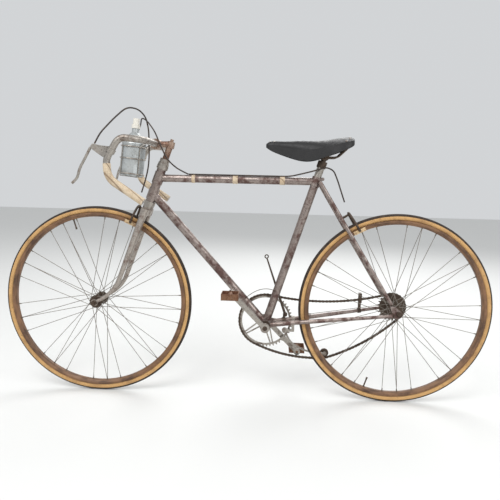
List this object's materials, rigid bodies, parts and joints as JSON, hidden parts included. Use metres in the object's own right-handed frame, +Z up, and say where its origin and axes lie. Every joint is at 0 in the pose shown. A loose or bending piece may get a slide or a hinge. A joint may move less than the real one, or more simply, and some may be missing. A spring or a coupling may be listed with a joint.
{
  "type": "racing bicycle",
  "caption": "Old steel racing bicycle with drop bars, sewn tyres on wooden rims, leather saddle, bar bottle cage and a sprung chain tensioner.",
  "frame": {"origin": "top of the saddle where the rider sits, 925 mm above the floor under the wheels", "axes": "+X backwards, +Y to the rider's right, where the chain is, +Z up"},
  "size_m": [1.744, 0.408, 1.0056],
  "materials": {
    "tread": "matt, dusty",
    "wood": "worn varnish",
    "frame_steel": "worn chrome with brown rust",
    "bright_steel": "bright, pitted",
    "dark_steel": "oily brown",
    "spoke_steel": "dull",
    "leather": "smooth black",
    "cotton": "woven tape",
    "bottle_metal": "dented, dull",
    "cork": "tan",
    "housing": "dull",
    "shoe": "aged",
    "pedal_steel": "rusty"
  },
  "bodies": {
    "frame": {"head_tube": "frame_steel", "frame_lugs": "frame_steel", "top_tube": "frame_steel", "down_tube": "frame_steel", "seat_tube": "frame_steel", "bottom_bracket_shell": "frame_steel", "bottom_bracket_cups": "dark_steel", "chainstays": "frame_steel", "seatstays": "frame_steel", "seatstay_bridge": "frame_steel", "rear_dropouts": "frame_steel", "rear_axle": "dark_steel", "headset_cups": "bright_steel", "seatpost": "bright_steel", "saddle_clamp": "dark_steel", "saddle_rails": "dark_steel", "saddle_cover": "leather", "chain": "dark_steel", "rear_brake_calliper": "dark_steel", "rear_brake_shoes": "shoe", "rear_brake_cable": "housing", "rear_brake_cable_loop": "housing", "gear_lever": "dark_steel", "tension_arm": "bright_steel", "tension_pulley": "dark_steel", "shifting_fork": "dark_steel"},
    "steering": {"steerer": "bright_steel", "fork_crown": "frame_steel", "fork_blades": "frame_steel", "fork_ends": "frame_steel", "front_axle": "dark_steel", "headset_locknuts": "bright_steel", "stem": "frame_steel", "handlebar": "bright_steel", "bar_tape": "cotton", "brake_lever_hoods": "bright_steel", "brake_levers": "bright_steel", "front_brake_cable": "housing", "front_brake_calliper": "dark_steel", "front_brake_shoes": "shoe", "bottle": "bottle_metal", "bottle_stopper": "cork", "bottle_cage": "bright_steel"},
    "front_wheel": {"front_tyre": "tread", "front_rim": "wood", "front_hub": "dark_steel", "front_spokes": "spoke_steel"},
    "rear_wheel": {"rear_tyre": "tread", "rear_rim": "wood", "rear_hub": "dark_steel", "rear_spokes": "spoke_steel"},
    "freewheel": {"freewheel_body": "dark_steel", "sprockets": "dark_steel"},
    "crankset": {"crank_axle": "dark_steel", "cranks": "bright_steel", "chainring": "bright_steel", "pedal_axles": "pedal_steel"},
    "left_pedal": {"left_pedal": "pedal_steel"},
    "right_pedal": {"right_pedal": "pedal_steel"}
  },
  "joints": [
    {"name": "steering", "type": "hinge", "parent": "frame", "child": "steering", "pos_m": [-0.74626, 0, -0.60347], "axis": [0.342, 0, 0.9397], "range_deg": [-60, 60], "deforming": ["rear_brake_cable_loop"]},
    {"name": "front_wheel_spin", "type": "hinge", "parent": "steering", "child": "front_wheel", "pos_m": [-0.797, 0, -0.585], "axis": [0, 1, 0], "continuous": true},
    {"name": "rear_wheel_spin", "type": "hinge", "parent": "frame", "child": "rear_wheel", "pos_m": [0.267, 0, -0.585], "axis": [0, 1, 0], "continuous": true},
    {"name": "crank_spin", "type": "hinge", "parent": "frame", "child": "crankset", "pos_m": [-0.189, 0, -0.652], "axis": [0, 1, 0], "continuous": true},
    {"name": "freewheel_spin", "type": "hinge", "parent": "frame", "child": "freewheel", "pos_m": [0.267, 0, -0.585], "axis": [0, 1, 0], "continuous": true},
    {"name": "left_pedal_spin", "type": "hinge", "parent": "crankset", "child": "left_pedal", "pos_m": [-0.30921, -0.101, -0.53179], "axis": [0, 1, 0], "continuous": true},
    {"name": "right_pedal_spin", "type": "hinge", "parent": "crankset", "child": "right_pedal", "pos_m": [-0.06879, 0.101, -0.77221], "axis": [0, 1, 0], "continuous": true}
  ],
  "couplings": [
    {"joint": "freewheel_spin", "follows": "crank_spin", "ratio": 2}
  ]
}
